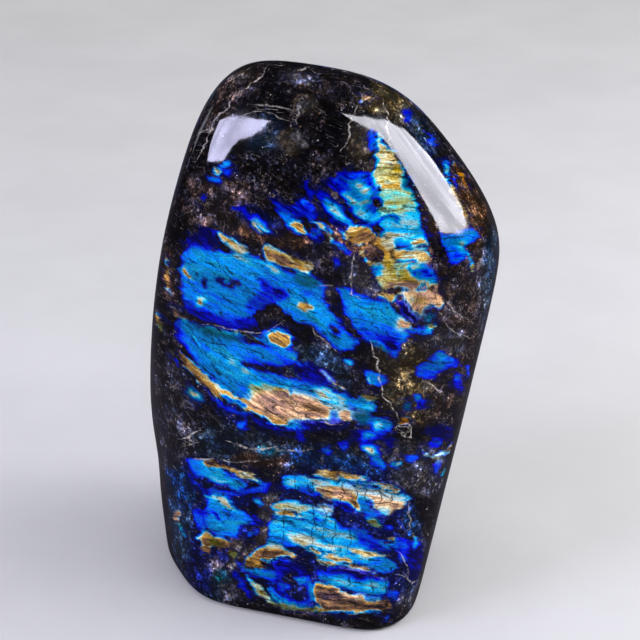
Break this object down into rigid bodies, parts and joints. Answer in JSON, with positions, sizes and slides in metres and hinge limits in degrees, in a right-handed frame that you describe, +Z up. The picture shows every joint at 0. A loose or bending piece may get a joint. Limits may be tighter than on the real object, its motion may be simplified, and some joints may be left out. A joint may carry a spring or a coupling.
{
  "type": "labradorite freeform",
  "caption": "Polished free-standing labradorite stone with broad ground flats, rounded shoulders, blue and gold flash, and a flat sawn base.",
  "frame": {"origin": "on the sawn base, under the middle of the stone's box", "axes": "+Z up, from the base to the crown; the broad front that shows the colour faces -Y; +X is to the viewer's right"},
  "size_m": [0.1296, 0.0852, 0.1962],
  "materials": {
    "polished_labradorite": "mirror polished, dark blue-black with vivid blue, aqua and gold flash"
  },
  "bodies": {
    "root": {"stone": "polished_labradorite"}
  },
  "joints": []
}
